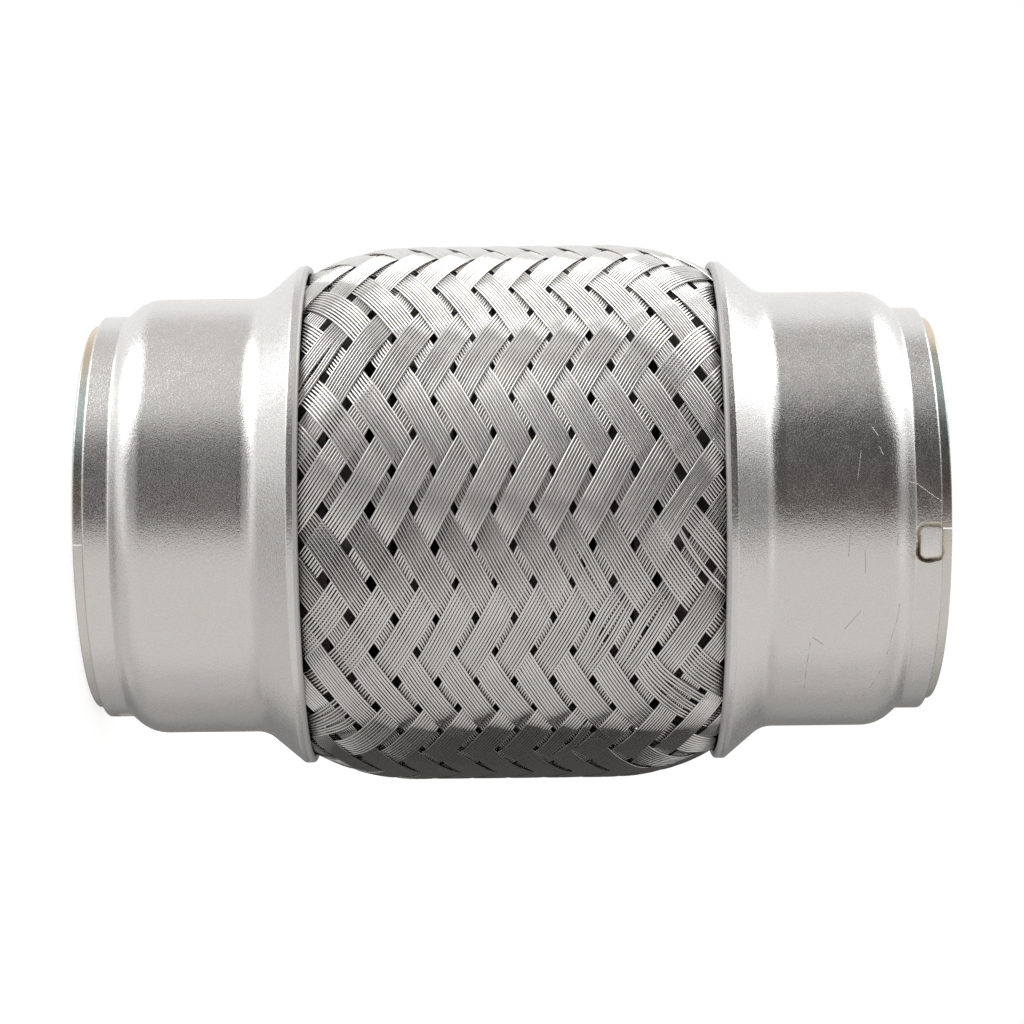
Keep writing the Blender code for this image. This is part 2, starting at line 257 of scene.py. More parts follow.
# Scratches, as angle in the picture in degrees and height
DARK_SCRATCHES = (
    ((10.3, 0.08969), (13.3, 0.08977), (16.3, 0.08977)),
    ((3.3, 0.08811), (7.7, 0.08797), (12.0, 0.08784)),
    ((6.2, 0.09346), (9.5, 0.09337)),
    ((56.8, 0.09055), (51.2, 0.09146), (46.3, 0.09213), (39.4, 0.09283), (34.1, 0.09316),
     (29.5, 0.09367), (25.0, 0.09390)),
    ((52.6, 0.08363), (46.7, 0.08366), (41.2, 0.08371), (35.6, 0.08389)),
    ((31.7, 0.08766), (28.8, 0.08860), (26.3, 0.08945)),
    ((34.0, 0.08408), (35.0, 0.08467), (36.3, 0.08539)),
)
BRIGHT_SCRATCHES = (
    ((-14.3, 0.08944), (-10.5, 0.08917), (-7.0, 0.08892)),
    ((-20.5, 0.09079), (-18.1, 0.09142)),
    ((-15.3, 0.09149), (-13.2, 0.09191)),
    ((-6.7, 0.09493), (-6.4, 0.09582), (-5.3, 0.09650), (-3.1, 0.09768), (-1.7, 0.09860)),
)


class SpotWeld(NamedTuple):
    """Square mark of an electrode, at an angle in the picture and a height."""
    angle: float
    height: float
    half_round: float
    half_along: float
    strength: float


NECK_WELD = SpotWeld(radians(9.4), 0.09745, 0.0020, 0.0014, 1.0)
FAINT_WELD = SpotWeld(radians(80), 0.0036, 0.0020, 0.0012, 0.45)

# Heat tints of the rings, from the top of the picture to the bottom
BARE = (1.0, 1.0, 1.0)
STRAW = (1.0, 0.88, 0.72)
BLUE = (0.70, 0.82, 0.86)
BROWN = (0.84, 0.78, 0.70)
HEAT_TINTS = ((0.0, STRAW), (0.14, STRAW), (0.27, BLUE), (0.40, BLUE), (0.50, BROWN),
              (0.62, BARE), (1.0, BARE))


class Card(NamedTuple):
    """Curved studio card between two angles in the picture, in degrees, and two heights."""
    name: str
    turns: tuple
    heights: tuple
    tone: float
    warmth: float = 0.0


CARDS = (
    Card("front_card", (-54, -12), (-0.03, 1.9), 0.085),
    Card("front_low_card", (-12, 9), (-0.03, 1.9), 0.09, 0.16),
    Card("left_far_card", (-46, 9), (-1.6, -0.42), 0.38),
    Card("left_front_card", (-46, 9), (-0.42, -0.125), 0.02),
    Card("left_inner_card", (-33, 9), (-0.125, -0.03), 0.55),
    Card("left_step_card", (-46, -33), (-0.125, -0.03), 0.72),
    Card("upper_left_card", (-128, -46), (-0.36, 0.08), 0.72),
    Card("left_edge_card", (-112, -46), (-0.50, -0.36), 0.25),
    Card("upper_right_card", (-112, -66), (0.12, 0.50), 0.44),
    Card("upper_middle_card", (-66, -54), (0.12, 0.50), 0.22),
    Card("under_card", (9, 88), (-1.6, 1.9), 0.73),
    Card("low_card", (88, 112), (-1.6, 1.9), 0.56),
    Card("back_card", (112, 140), (-0.9, 0.9), 0.40),
    Card("right_back_card", (112, 140), (0.9, 1.9), 0.62),
    Card("left_back_card", (112, 140), (-1.6, -0.9), 0.62),
    Card("far_card", (140, 178), (-1.6, 1.9), 0.24),
)

# Flat cards beyond the right end: places across and away, height and tone
PANELS = (
    ("right_front_panel", (-0.36, 0.20), (-0.92, -0.05), 1.35, 0.38),
    ("right_back_panel", (-0.36, 0.20), (-0.05, 0.80), 1.35, 0.02),
)

# Round cards beyond the ends: radius, centre and tone
DISCS = (
    ("left_back_disc", 0.45, (0.0, 0.36, -1.295), 0.22),
    ("right_end_card", 0.75, (0.95, 0.10, 1.36), 0.76),
    ("left_end_card", 1.00, (0.75, 0.10, -1.30), 0.62),
)

# Soft boxes: angle in the picture and rise towards its right, in degrees
SOFT_BOXES = (("right_box", -98, 40), ("left_box", -82, -38))


# Shapes

def from_photo_angle(angle):
    """Turn about the axis of a place at an angle below the middle of the picture."""
    return angle - pi / 2


def onto_upper_end():
    """Turns a lower end piece over onto the upper end."""
    return Matrix.Translation((0, 0, LENGTH)) @ Matrix.Rotation(pi, 4, "Y")


def rounded(corners):
    """Outline through (radius, height, round, steps) corners, each cut by an arc.

    A point just beyond each end of an arc keeps the straights flat when shaded smooth.
    """
    beyond = 0.00005
    outline = []
    for index, (r, z, round_off, steps) in enumerate(corners):
        here = Vector((r, z))
        if not round_off:
            outline.append(here)
            continue
        back = (Vector(corners[index - 1][:2]) - here).normalized()
        ahead = (Vector(corners[(index + 1) % len(corners)][:2]) - here).normalized()
        half = back.angle(ahead) / 2
        centre = here + (back + ahead).normalized() * round_off / sin(half)
        spoke = here + back * round_off / tan(half) - centre
        sweep = pi - 2 * half
        if back.x * ahead.y - back.y * ahead.x > 0:
            sweep = -sweep
        outline.append(centre + spoke + back * beyond)
        for step in range(steps + 1):
            outline.append(centre + Matrix.Rotation(sweep * step / steps, 2) @ spoke)
        outline.append(outline[-1] + ahead * beyond)
    return outline


def spun(outline, around, closed=True, start=0.0, angle=2 * pi):
    """Mesh of an outline spun about the axis."""
    bm = bmesh.new()
    points = [bm.verts.new((r * cos(start), r * sin(start), z)) for r, z in outline]
    pairs = zip(points, points[1:] + points[:1]) if closed else zip(points, points[1:])
    edges = [bm.edges.new(pair) for pair in pairs]
    whole = angle == 2 * pi
    bmesh.ops.spin(bm, geom=points + edges, axis=(0, 0, 1), cent=(0, 0, 0), dvec=(0, 0, 0),
                   angle=angle, steps=around, use_merge=whole)
    if not whole:
        open_edges = [edge for edge in bm.edges if edge.is_boundary]
        bmesh.ops.holes_fill(bm, edges=open_edges, sides=0)
        for edge in open_edges:
            edge.smooth = False
    bmesh.ops.remove_doubles(bm, verts=bm.verts, dist=MERGE)
    bmesh.ops.recalc_face_normals(bm, faces=bm.faces)
    return bm


def add_piece(name, bm, material, node=None, place=None):
    """Object of the mesh, riding the pipe and standing for its CAD node."""
    if place:
        bmesh.ops.transform(bm, matrix=place, verts=bm.verts)
        bmesh.ops.recalc_face_normals(bm, faces=bm.faces)
    mesh = bpy.data.meshes.new(name)
    bm.to_mesh(mesh)
    bm.free()
    return add_mesh(name, mesh, material, node)


def add_mesh(name, mesh, material, node=None):
    mesh.shade_smooth()
    mesh.materials.clear()
    mesh.materials.append(material)
    piece = bpy.data.objects.new(name, mesh)
    bpy.context.scene.collection.objects.link(piece)
    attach(piece, "root")
    if node:
        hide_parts(node)
    return piece


def cap_outline(size):
    """Pressed cup: neck, sloping shoulder, wide barrel, flare and nosed lip."""
    wall = size.wall
    lip_foot = LIP_EDGE - size.lip_length
    flare_foot = lip_foot - (LIP_RADIUS - size.barrel_radius) / tan(size.flare_angle)
    neck_top = NECK_FOOT + size.neck_length
    shoulder_top = neck_top + (size.barrel_radius - size.neck_radius) / tan(size.shoulder_angle)
    shoulder_shift = wall * tan(size.shoulder_angle / 2)
    flare_shift = wall * tan(size.flare_angle / 2)
    inner_bend = 0.0003
    return rounded([
        (LIP_RADIUS, LIP_EDGE, size.nose_round, 6),
        (LIP_RADIUS, lip_foot, size.lip_round, 4),
        (size.barrel_radius, flare_foot, size.flare_round, 8),
        (size.barrel_radius, shoulder_top, size.shoulder_round, 10),
        (size.neck_radius, neck_top, size.neck_round, 4),
        (size.neck_radius, NECK_FOOT, size.edge_round, 4),
        (size.neck_radius - wall, NECK_FOOT, size.inner_round, 2),
        (size.neck_radius - wall, neck_top + shoulder_shift, size.neck_round + wall, 4),
        (size.barrel_radius - wall, shoulder_top + shoulder_shift, size.shoulder_round - wall, 8),
        (size.barrel_radius - wall, flare_foot + flare_shift, size.flare_round + wall, 8),
        (LIP_RADIUS - wall, lip_foot + flare_shift, inner_bend, 2),
        (LIP_RADIUS - wall, LIP_EDGE, size.inner_round, 3),
    ])


def ring_outline(size):
    """Strip with rounded edges."""
    inside, outside = size.bore_radius, size.bore_radius + size.wall
    return rounded([
        (outside, RING_TOP, size.edge_round, 3),
        (outside, 0.0, size.edge_round, 4),
        (inside, 0.0, size.edge_round, 4),
        (inside, RING_TOP, size.edge_round, 3),
    ])


# Braid

def braid_radius(size, cap, reach):
    """Radius over the crowns at a distance from mid-length, on into the flare."""
    half = MIDDLE - LIP_EDGE
    tuck = LIP_RADIUS - cap.wall - FIT
    reach = abs(reach)
    if reach > half:
        return tuck - (reach - half) * tan(cap.flare_angle)
    beyond = max(0.0, reach - size.straight / 2) / (half - size.straight / 2)
    return BRAID_RADIUS - (BRAID_RADIUS - tuck) * beyond ** size.fall


def crimp_height(place):
    """Height of a strand in its weave, from 1 over to -1 under; place 0 is mid-float."""
    steepness = 1.8
    return tanh(steepness * cos(place * pi / 2)) / tanh(steepness)


class Lattice:
    """Crossings of the weave, which draw apart along the axis towards the ends."""

    step = 0.1  # Rows from one of the heights that are worked out to the next

    def __init__(self, size, cap):
        self.size = size
        self.cap = cap
        self.row = pi / size.strands
        self.reaches = [0.0]
        self.start = size.shift / self.rise(0.0)
        end = MIDDLE - LIP_EDGE + size.tucked
        while self.reaches[-1] < end:
            self.reaches.append(self.reaches[-1] + self.step * self.rise(self.reaches[-1]))
        self.half_run = (len(self.reaches) - 2) * self.step

    def rise(self, reach):
        """Height of one row at a distance from mid-length."""
        half = MIDDLE - LIP_EDGE
        drawn = 1 + 3 * self.size.spread * reach ** 2 / half ** 3
        return BRAID_RADIUS * self.row / tan(self.size.angle) * drawn

    def strand_step(self, reach):
        """Distance between the middles of neighbouring strands."""
        across = braid_radius(self.size, self.cap, reach) * self.row
        rise = self.rise(reach)
        return 2 * across * rise / hypot(across, rise)

    def reach(self, rows):
        """Distance from mid-length after a number of rows."""
        place = min(abs(rows + self.start), self.half_run) / self.step
        below = floor(place)
        first, second = self.reaches[below:below + 2]
        reach = first + (second - first) * (place - below)
        return reach if rows + self.start > 0 else -reach


def loosened(way, number, wire, run):
    """How far aside, outward and together a wire lies where its strand has worked loose."""
    aside = outward = gathered = 0.0
    for place in LOOSE_PLACES:
        if (place.way, place.strand) != (way, number) or wire not in place.wires:
            continue
        off = abs(run - place.middle) / place.half_length
        nearness = max(0.0, 1 - off * off) ** 2
        aside += place.aside * nearness
        outward += place.outward * nearness
        gathered += place.gathered * nearness
    return aside, outward, gathered


def wavy(wave, run, phase):
    """Rise of a slow wave after a run of rows."""
    height, rate = wave
    return height * sin(rate * run + phase)


def wire_route(size, cap, lattice, way, number, wire, drift, chance):
    """Points of one wire, from inside one flare to inside the other."""
    steps = round(2 * lattice.half_run * size.samples)
    phases = [chance.uniform(0, 2 * pi) for _ in range(2)]
    middle_width = lattice.strand_step(0.0)
    points = []
    for step in range(steps + 1):
        run = lattice.half_run * (2 * step / steps - 1) - way * lattice.start
        along = number + run
        aside, outward, gathered = loosened(way, number, wire, run)
        drawn = lattice.strand_step(lattice.reach(way * run)) / middle_width
        side = (wire - (size.wires - 1) / 2) * size.wire_step
        side = side * (1 - gathered) / drawn ** size.crowding
        uneven = wavy(STRAND_WAVES[0], run, drift[0]) + wavy(STRAND_WAVES[1], run, drift[1])
        uneven += wavy(WIRE_WAVE, run, phases[0])
        across = number + side + uneven + aside
        if way > 0:
            u, v = across, along
            middle_of_float = (0.5 - number) % 4
        else:
            u, v = along, across
            middle_of_float = (2.5 - number) % 4
        rise = size.crimp * crimp_height(along - middle_of_float)
        rise += wavy(CRIMP_WAVE, run, phases[1])
        rise += outward
        reach = lattice.reach(v - u)
        radius = braid_radius(size, cap, reach) - size.wire_diameter / 2 - size.crimp
        radius = min(radius + rise, BRAID_RADIUS - size.wire_diameter / 2)
        turn = from_photo_angle((u + v) * lattice.row + size.turn)
        points.append(Vector((radius * cos(turn), radius * sin(turn), MIDDLE + reach)))
    return points


def tubes(name, routes, diameter):
    """Mesh of round wires along the routes."""
    curve = bpy.data.curves.new(name, "CURVE")
    curve.dimensions = "3D"
    curve.bevel_depth = diameter / 2
    curve.bevel_resolution = 1
    curve.use_fill_caps = True
    for route in routes:
        spline = curve.splines.new("POLY")
        spline.points.add(len(route) - 1)
        spline.points.foreach_set("co", [part for point in route for part in (*point, 1.0)])
    holder = bpy.data.objects.new(name, curve)
    bpy.context.scene.collection.objects.link(holder)
    bpy.context.view_layer.update()
    solid = holder.evaluated_get(bpy.context.evaluated_depsgraph_get())
    mesh = bpy.data.meshes.new_from_object(solid)
    bpy.data.objects.remove(holder)
    bpy.data.curves.remove(curve)
    return mesh


# Materials

def new_material(name):
    material = bpy.data.materials.new(name)
    material.use_nodes = True
    return material, material.node_tree, material.node_tree.nodes["Principled BSDF"]


def node(tree, kind, **values):
    """Node of a kind, with its sockets or settings given by name."""
    made = tree.nodes.new(kind)
    for key, value in values.items():
        label = key.replace("_", " ").title()
        if label in made.inputs:
            made.inputs[label].default_value = value
        else:
            setattr(made, key, value)
    return made


def mix_colour(tree, amount, first, second, blend="MIX"):
    """Mix of two colours or links by an amount, in the sockets that a colour mix has."""
    mix = node(tree, "ShaderNodeMix", data_type="RGBA", blend_type=blend)
    for socket, value in ((mix.inputs[0], amount), (mix.inputs[6], first), (mix.inputs[7], second)):
        if isinstance(value, bpy.types.NodeSocket):
            tree.links.new(value, socket)
        elif isinstance(value, float):
            socket.default_value = value
        else:
            socket.default_value = (*value, 1.0)
    return mix.outputs[2]


class Finish:
    """Bare steel with fine uneven grain, onto which marks are laid before it is done."""

    # Slow clouds, flecks and coarse grain, each with its scale as a share of the grain's
    cloud_scale, cloud_shade, cloud_roughness = 0.08, 0.94, 0.03
    fleck_scale, fleck_shade, fleck_edge = 0.95, 0.92, (0.42, 0.66)
    coarse_scale, coarse_height = 0.52, 0.000014

    def __init__(self, name, colour, roughness, grain, grain_height, fleck=0.0):
        self.material, self.tree, self.shader = new_material(name)
        self.place = self.tree.nodes.new("ShaderNodeTexCoord").outputs["Object"]
        split = self.tree.nodes.new("ShaderNodeSeparateXYZ")
        self.tree.links.new(self.place, split.inputs[0])
        self.across, _, self.up = split.outputs
        cloud = self.noise(grain * self.cloud_scale, 3.0)
        darker = [part * self.cloud_shade for part in colour]
        self.colour = mix_colour(self.tree, cloud, darker, list(colour))
        self.roughness = self.between(cloud, 0.3, 0.7, roughness - self.cloud_roughness,
                                      roughness + self.cloud_roughness)
        self.shader.inputs["Metallic"].default_value = 1.0
        self.height = self.maths("MULTIPLY", self.noise(grain, 2.0), grain_height)
        if fleck:
            self.fleck(grain, fleck)

    def fleck(self, grain, rise):
        """Fine flecks, each rougher and a little brighter than the sheet round it."""
        flecks = self.between(self.noise(grain * self.fleck_scale, 2.0), *self.fleck_edge)
        self.roughness = self.maths("MULTIPLY_ADD", flecks, rise, self.roughness)
        self.darken(mix_colour(self.tree, flecks, [self.fleck_shade] * 3, [1.0] * 3))
        coarse = self.noise(grain * self.coarse_scale, 2.0)
        self.height = self.maths("MULTIPLY_ADD", coarse, self.coarse_height, self.height)

    def darken(self, shade):
        """Multiply the steel's colour by a shade."""
        self.colour = mix_colour(self.tree, 1.0, self.colour, shade, "MULTIPLY")

    def noise(self, scale, detail):
        texture = node(self.tree, "ShaderNodeTexNoise", scale=scale, detail=detail)
        self.tree.links.new(self.place, texture.inputs["Vector"])
        return texture.outputs["Fac"]

    def maths(self, operation, *values):
        made = node(self.tree, "ShaderNodeMath", operation=operation)
        for socket, value in zip(made.inputs, values):
            if isinstance(value, bpy.types.NodeSocket):
                self.tree.links.new(value, socket)
            else:
                socket.default_value = value
        return made.outputs[0]

    def between(self, value, from_min, from_max, to_min=0.0, to_max=1.0):
        made = node(self.tree, "ShaderNodeMapRange", from_min=from_min, from_max=from_max,
                    to_min=to_min, to_max=to_max)
        self.tree.links.new(value, made.inputs["Value"])
        return made.outputs["Result"]

    def towards(self, direction):
        """Distance of a place from the pipe's middle in a direction."""
        made = node(self.tree, "ShaderNodeVectorMath", operation="DOT_PRODUCT")
        self.tree.links.new(self.place, made.inputs[0])
        made.inputs[1].default_value = direction
        return made.outputs["Value"]

    def tint(self, amount, colour):
        self.colour = mix_colour(self.tree, amount, self.colour, colour)

    def roughen(self, amount, roughness):
        more = self.maths("SUBTRACT", roughness, self.roughness)
        self.roughness = self.maths("MULTIPLY_ADD", more, amount, self.roughness)

    def done(self):
        bump = node(self.tree, "ShaderNodeBump", strength=1.0, distance=1.0)
        self.tree.links.new(self.height, bump.inputs["Height"])
        self.tree.links.new(bump.outputs["Normal"], self.shader.inputs["Normal"])
        self.tree.links.new(self.colour, self.shader.inputs["Base Color"])
        self.tree.links.new(self.roughness, self.shader.inputs["Roughness"])
        return self.material


def spot_weld(finish, colours, weld):
    """Burnt outline, pale middle and straw halo of a weld's square electrode mark."""
    turn = from_photo_angle(weld.angle)
    corner = 0.0008
    uneven = 0.00010
    line_core, line_end = 0.00008, 0.00032
    line_depth = 0.00010
    halo_width = 0.0009
    middle_start, middle_end = -0.0002, -0.0005
    fused_roughness, burnt_roughness = 0.42, 0.50
    darker_to_a_corner, burn_amid, least_burn = 250.0, 0.45, 0.15
    aside = finish.towards((-sin(turn), cos(turn), 0.0))
    along = finish.maths("SUBTRACT", finish.up, weld.height)
    near_side = finish.maths("GREATER_THAN", finish.towards((cos(turn), sin(turn), 0.0)), 0.0)
    legs = []
    for leg, half in ((aside, weld.half_round), (along, weld.half_along)):
        past = finish.maths("SUBTRACT", finish.maths("ABSOLUTE", leg), half - corner)
        legs.append(finish.maths("POWER", finish.maths("MAXIMUM", past, 0.0), 2.0))
    edge = finish.maths("SQRT", finish.maths("ADD", *legs))
    wobble = finish.between(finish.noise(700.0, 2.0), 0.3, 0.7, -uneven, uneven)
    edge = finish.maths("ADD", finish.maths("SUBTRACT", edge, corner), wobble)
    burn = finish.between(finish.maths("ABSOLUTE", edge), line_core, line_end, weld.strength, 0.0)
    heavier = finish.maths("MULTIPLY_ADD", aside, darker_to_a_corner, burn_amid)
    heavier = finish.maths("MULTIPLY_ADD", along, -darker_to_a_corner, heavier)
    heavier = finish.maths("MINIMUM", finish.maths("MAXIMUM", heavier, least_burn), 1.0)
    burn = finish.maths("MULTIPLY", finish.maths("MULTIPLY", burn, heavier), near_side)
    halo = finish.between(edge, 0.0, halo_width, 0.5 * weld.strength, 0.0)
    halo = finish.maths("MULTIPLY", halo, near_side)
    middle = finish.between(edge, middle_start, middle_end)
    middle = finish.maths("MULTIPLY", middle, near_side)
    finish.tint(halo, list(colours.straw))
    finish.tint(finish.maths("MULTIPLY", middle, weld.strength), list(colours.fused))
    finish.roughen(middle, fused_roughness)
    finish.tint(burn, list(colours.burnt))
    finish.roughen(burn, burnt_roughness)
    finish.height = finish.maths("MULTIPLY_ADD", burn, -line_depth, finish.height)


def heat_tint(finish, stops, radius):
    """Colours of heat round the front and back, by height in the picture."""
    waver = 0.3 * radius
    blotches = finish.noise(90.0, 2.0)
    level = finish.maths("MULTIPLY_ADD", blotches, waver, finish.across)
    level = finish.between(level, -radius, radius)
    ramp = finish.tree.nodes.new("ShaderNodeValToRGB")
    finish.tree.links.new(level, ramp.inputs[0])
    elements = ramp.color_ramp.elements
    for position, _ in stops[1:-1]:
        elements.new(position)
    for element, (_, colour) in zip(elements, stops):
        element.color = (*colour, 1.0)
    finish.darken(ramp.outputs[0])


def glow(name, tone, warmth=0.0):
    """Even tone of a studio card, slightly warm, whatever light falls on it."""
    material, _, shader = new_material(name)
    tint = (1 + warmth, 0.985 - 0.3 * warmth, 0.965 - 0.5 * warmth)
    shader.inputs["Base Color"].default_value = (0.0, 0.0, 0.0, 1.0)
    shader.inputs["Specular IOR Level"].default_value = 0.0
    shader.inputs["Emission Color"].default_value = (*(tone * part for part in tint), 1.0)
    shader.inputs["Emission Strength"].default_value = 1.0
    return material


# Operators

class FLEXPIPE_OT_caps(bpy.types.Operator):
    """Make the two pressed end caps"""
    bl_idname = "flexpipe.caps"
    bl_label = "End Caps"

    def execute(self, context):
        settings = context.scene.flexpipe
        sheet = self.finish(settings)
        outline = cap_outline(settings.cap)
        for name, place in (("lower", None), ("upper", onto_upper_end())):
            bm = spun(outline, settings.cap.around)
            add_piece(f"{name}_cap", bm, sheet, f"{name}_end_cap", place)
        return {"FINISHED"}

    def finish(self, settings):
        """Satin sheet with a rough sheared lip and two spot welds."""
        nose_length, blur = 0.00050, 0.00008
        nose_tint, nose_roughness, nose_matt = 0.8, 0.48, 0.6
        steel = Finish("cap_steel", settings.colours.cap, roughness=0.18, grain=SHEET_GRAIN,
                       grain_height=0.000022, fleck=0.13)
        off_middle = steel.maths("ABSOLUTE", steel.maths("SUBTRACT", steel.up, MIDDLE))
        nose_end = MIDDLE - LIP_EDGE + nose_length
        nose = steel.between(off_middle, nose_end + blur, nose_end)
        steel.tint(steel.maths("MULTIPLY", nose, nose_tint), list(settings.colours.sheared))
        steel.roughen(nose, nose_roughness)
        metallic = steel.maths("MULTIPLY_ADD", nose, -nose_matt, 1.0)
        steel.tree.links.new(metallic, steel.shader.inputs["Metallic"])
        spot_weld(steel, settings.colours, NECK_WELD)
        spot_weld(steel, settings.colours, FAINT_WELD)
        return steel.done()


class FLEXPIPE_OT_scratches(bpy.types.Operator):
    """Lay the fine scratches on the upper cap"""
    bl_idname = "flexpipe.scratches"
    bl_label = "Scratches"

    def execute(self, context):
        cap = bpy.data.objects["upper_cap"]
        colours = context.scene.flexpipe.colours
        bpy.context.view_layer.update()
        kinds = (("dark", DARK_SCRATCHES, 0.00007, colours.scored),
                 ("bright", BRIGHT_SCRATCHES, 0.00006, colours.fused))
        for kind, scratches, width, colour in kinds:
            routes = [[self.on_surface(cap, *point) for point in scratch] for scratch in scratches]
            name = f"{kind}_scratches"
            steel = Finish(f"{kind}_scratch", colour, roughness=0.35, grain=SHEET_GRAIN,
                           grain_height=0.0)
            add_mesh(name, tubes(name, routes, width), steel.done(), "upper_end_cap")
        return {"FINISHED"}

    def on_surface(self, cap, angle, height):
        """Point on the cap at an angle in the picture, in degrees, and a height."""
        turn = from_photo_angle(radians(angle))
        outward = Vector((cos(turn), sin(turn), 0))
        level = Vector((0, 0, height))
        hit, point, _, _ = cap.ray_cast(level + outward * 2 * BRAID_RADIUS, -outward)
        if not hit:
            raise ValueError(f"No surface for a scratch at {angle} degrees, {height} m")
        return point


class FLEXPIPE_OT_rings(bpy.types.Operator):
    """Make the two rolled end rings with their butt seams"""
    bl_idname = "flexpipe.rings"
    bl_label = "End Rings"

    def execute(self, context):
        settings = context.scene.flexpipe
        size = settings.ring
        strip = self.finish(settings)
        outline = ring_outline(size)
        opening = size.seam / (size.bore_radius + size.wall)
        seams = (("lower", size.lower_seam_turn, None),
                 ("upper", pi - size.upper_seam_turn, onto_upper_end()))
        for name, turn, place in seams:
            bm = spun(outline, settings.cap.around, start=turn + opening / 2,
                      angle=2 * pi - opening)
            add_piece(f"{name}_ring", bm, strip, f"{name}_end_ring", place)
        return {"FINISHED"}

    def finish(self, settings):
        """Strip tinted by the heat of its welding."""
        strip = Finish("ring_steel", settings.colours.ring, roughness=0.22, grain=SHEET_GRAIN,
                       grain_height=0.000012, fleck=0.08)
        heat_tint(strip, HEAT_TINTS, settings.ring.bore_radius)
        spot_weld(strip, settings.colours, NECK_WELD)
        return strip.done()


class FLEXPIPE_OT_braid(bpy.types.Operator):
    """Weave the braid from its wires"""
    bl_idname = "flexpipe.braid"
    bl_label = "Braid"

    def execute(self, context):
        settings = context.scene.flexpipe
        size = settings.braid
        wire_steel = Finish("wire_steel", settings.colours.wire, roughness=0.09, grain=2600,
                            grain_height=0.000003).done()
        chance = Random(size.seed)
        lattice = Lattice(size, settings.cap)
        half = size.strands // 2
        for way, way_name in ((1, "right_hand"), (-1, "left_hand")):
            for first in (0, half):
                routes = []
                for number in range(first, first + half):
                    drift = [chance.uniform(0, 2 * pi) for _ in range(2)]
                    routes += [wire_route(size, settings.cap, lattice, way, number, wire,
                                          drift, chance) for wire in range(size.wires)]
                name = f"braid_{way_name}_{first // half + 1}"
                mesh = tubes(name, routes, size.wire_diameter)
                add_mesh(name, mesh, wire_steel, "outer_braid")
        return {"FINISHED"}


class FLEXPIPE_OT_inner(bpy.types.Operator):
    """Finish the bellows and the liner inside"""
    bl_idname = "flexpipe.inner"
    bl_label = "Inner Layers"

    def execute(self, context):
        colours = context.scene.flexpipe.colours
        # The bellows gets a near-black colour, painted shade for the shade under the braid
        for name, colour in (("bellows", colours.bellows_painted_shade), ("interlock_liner", colours.inner)):
            steel = Finish(f"{name}_steel", colour, roughness=0.40, grain=1800,
                           grain_height=0.00001)
            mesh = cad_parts[name].data
            mesh.materials.clear()
            mesh.materials.append(steel.done())
        return {"FINISHED"}


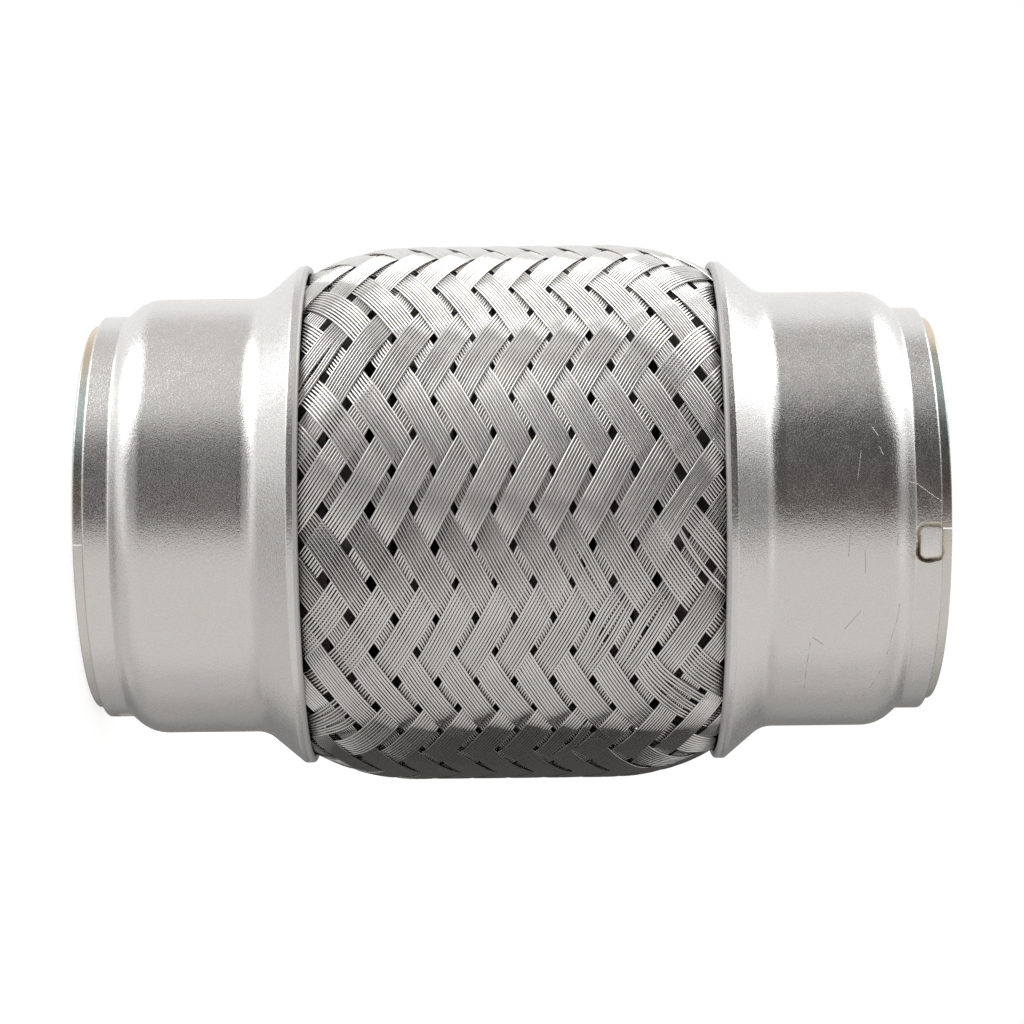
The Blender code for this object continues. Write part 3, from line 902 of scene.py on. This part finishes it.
class FLEXPIPE_OT_studio(bpy.types.Operator):
    """Set up the floor, the cards, the light and the camera"""
    bl_idname = "flexpipe.studio"
    bl_label = "Studio"

    def execute(self, context):
        scene = context.scene
        size = scene.flexpipe.studio
        self.floor(scene, size)
        for card in CARDS:
            self.card(scene, size, card)
        for panel in PANELS:
            self.panel(scene, *panel)
        for disc in DISCS:
            self.disc(scene, *disc)
        self.contact_card(scene)
        self.light(scene, size)
        self.world(scene, size)
        self.camera(scene, size)
        return {"FINISHED"}

    def floor(self, scene, size):
        bm = bmesh.new()
        bmesh.ops.create_circle(bm, cap_ends=True, segments=96, radius=size.floor_radius)
        material, tree, shader = new_material("white_floor")
        shader.inputs["Base Color"].default_value = (0.80, 0.80, 0.80, 1.0)
        shader.inputs["Roughness"].default_value = 0.9
        shader.inputs["Specular IOR Level"].default_value = 0.0
        shader.inputs["Emission Color"].default_value = (1.0, 1.0, 1.0, 1.0)
        lift = node(tree, "ShaderNodeMath", operation="MULTIPLY")
        lift.inputs[1].default_value = size.floor_glow
        tree.links.new(self.seen_directly(tree), lift.inputs[0])
        tree.links.new(lift.outputs[0], shader.inputs["Emission Strength"])
        board = self.add_stage(scene, "floor", bm, material)
        board.visible_glossy = False
        board.visible_shadow = False

    def seen_directly(self, tree):
        """1 where a ray comes from the camera, a gloss or glass."""
        path = tree.nodes.new("ShaderNodeLightPath")
        seen = path.outputs["Is Camera Ray"]
        for ray in ("Is Glossy Ray", "Is Transmission Ray"):
            either = node(tree, "ShaderNodeMath", operation="MAXIMUM")
            tree.links.new(seen, either.inputs[0])
            tree.links.new(path.outputs[ray], either.inputs[1])
            seen = either.outputs[0]
        return seen

    def card(self, scene, size, card):
        """Curved card round the pipe."""
        bm = bmesh.new()
        start, end = (from_photo_angle(radians(turn)) for turn in card.turns)
        side = Vector((cos(start), sin(start), 0)) * size.card_radius
        ends = [bm.verts.new(side + Vector((0, 0, height))) for height in card.heights]
        bmesh.ops.spin(bm, geom=ends + [bm.edges.new(ends)], axis=(0, 0, 1), cent=(0, 0, 0),
                       dvec=(0, 0, 0), angle=end - start, steps=24)
        self.add_card(scene, card.name, bm, card.tone, card.warmth)

    def disc(self, scene, name, radius, centre, tone):
        bm = bmesh.new()
        bmesh.ops.create_circle(bm, cap_ends=True, segments=64, radius=radius,
                                matrix=Matrix.Translation(centre))
        self.add_card(scene, name, bm, tone)

    def panel(self, scene, name, across, away, height, tone):
        """Flat card square to the pipe, between two places across and two away."""
        middle = Matrix.Translation((sum(across) / 2, sum(away) / 2, height))
        self.flat(scene, name, across[1] - across[0], away[1] - away[0], middle, tone)

    def contact_card(self, scene):
        """Shade under the pipe's belly, as if it lay on its side."""
        along, deep, gap, further = 0.050, 0.055, 0.0012, 0.006
        under = Matrix.Translation((BRAID_RADIUS + gap, further, MIDDLE))
        upright = Matrix.Rotation(pi / 2, 4, "Y")
        self.flat(scene, "contact_card", along, deep, under @ upright, tone=0.075)

    def flat(self, scene, name, width, depth, place, tone):
        bm = bmesh.new()
        bmesh.ops.create_grid(bm, x_segments=1, y_segments=1, size=0.5,
                              matrix=place @ Matrix.Diagonal((width, depth, 1, 1)))
        self.add_card(scene, name, bm, tone)

    def add_card(self, scene, name, bm, tone, warmth=0.0):
        """Card that is there for the steel to reflect, and nothing else."""
        card = self.add_stage(scene, name, bm, glow(name, tone, warmth))
        card.visible_camera = False
        card.visible_diffuse = False
        card.visible_shadow = False

    def add_stage(self, scene, name, bm, material):
        mesh = bpy.data.meshes.new(name)
        bm.to_mesh(mesh)
        bm.free()
        mesh.materials.append(material)
        piece = bpy.data.objects.new(name, mesh)
        scene.collection.objects.link(piece)
        return piece

    def light(self, scene, size):
        for name, turn, rise in SOFT_BOXES:
            lamp = bpy.data.lights.new(name, "AREA")
            lamp.shape = "SQUARE"
            lamp.size = size.box_size
            lamp.energy = size.box_power
            box = bpy.data.objects.new(name, lamp)
            scene.collection.objects.link(box)
            around, above = from_photo_angle(radians(turn)), radians(rise)
            reach = Vector((cos(around) * cos(above), sin(around) * cos(above), sin(above)))
            box.location = Vector((0, 0, MIDDLE)) + reach * size.box_distance
            box.rotation_euler = reach.to_track_quat("Z", "Y").to_euler()
            box.visible_camera = False

    def world(self, scene, size):
        world = bpy.data.worlds.new("studio")
        world.use_nodes = True
        scene.world = world
        tree = world.node_tree
        tree.nodes.clear()
        pale = (1.0, 1.0, 1.0, 1.0)
        soft = node(tree, "ShaderNodeBackground", color=pale, strength=size.ambient)
        white = node(tree, "ShaderNodeBackground", color=pale, strength=1.0)
        mix = tree.nodes.new("ShaderNodeMixShader")
        tree.links.new(self.seen_directly(tree), mix.inputs[0])
        tree.links.new(soft.outputs[0], mix.inputs[1])
        tree.links.new(white.outputs[0], mix.inputs[2])
        out = tree.nodes.new("ShaderNodeOutputWorld")
        tree.links.new(mix.outputs[0], out.inputs["Surface"])
        scene.view_settings.view_transform = "Standard"

    def camera(self, scene, size):
        lens = bpy.data.cameras.new("camera")
        lens.lens = size.lens
        lens.sensor_width = 36.0
        lens.clip_start = 0.01
        camera = bpy.data.objects.new("camera", lens)
        scene.collection.objects.link(camera)
        right = Vector((0, 0, 1))
        up = Vector((-1, 0, 0))
        look = Matrix((right, up, right.cross(up))).transposed().to_4x4()
        camera.matrix_world = (Matrix.Translation((0, -size.camera_distance, MIDDLE)) @ look
                               @ Matrix.Rotation(-size.roll, 4, "Z"))
        scene.camera = camera


class FLEXPIPE_PT_panel(bpy.types.Panel):
    """Lists the steps and the sizes"""
    bl_idname = "FLEXPIPE_PT_panel"
    bl_label = "Flex Pipe"
    bl_space_type = "VIEW_3D"
    bl_region_type = "UI"
    bl_category = "Flex Pipe"

    def draw(self, context):
        for operator in OPERATORS:
            self.layout.operator(operator.bl_idname)
        for name in ("cap", "ring", "braid", "colours", "studio"):
            group = getattr(context.scene.flexpipe, name)
            box = self.layout.box()
            for key in group.__annotations__:
                box.prop(group, key)


OPERATORS = (FLEXPIPE_OT_caps, FLEXPIPE_OT_scratches, FLEXPIPE_OT_rings, FLEXPIPE_OT_braid,
             FLEXPIPE_OT_inner, FLEXPIPE_OT_studio)
CLASSES = (CapSizes, RingSizes, BraidSizes, FinishColours, StudioSizes,
           FlexPipeSettings) + OPERATORS + (FLEXPIPE_PT_panel,)


def register():
    for cls in CLASSES:
        bpy.utils.register_class(cls)
    bpy.types.Scene.flexpipe = PointerProperty(type=FlexPipeSettings)


def unregister():
    del bpy.types.Scene.flexpipe
    for cls in reversed(CLASSES):
        bpy.utils.unregister_class(cls)


def main():
    register()
    bpy.ops.flexpipe.caps()
    bpy.ops.flexpipe.scratches()
    bpy.ops.flexpipe.rings()
    bpy.ops.flexpipe.braid()
    bpy.ops.flexpipe.inner()
    bpy.ops.flexpipe.studio()


if __name__ == "__main__":
    main()
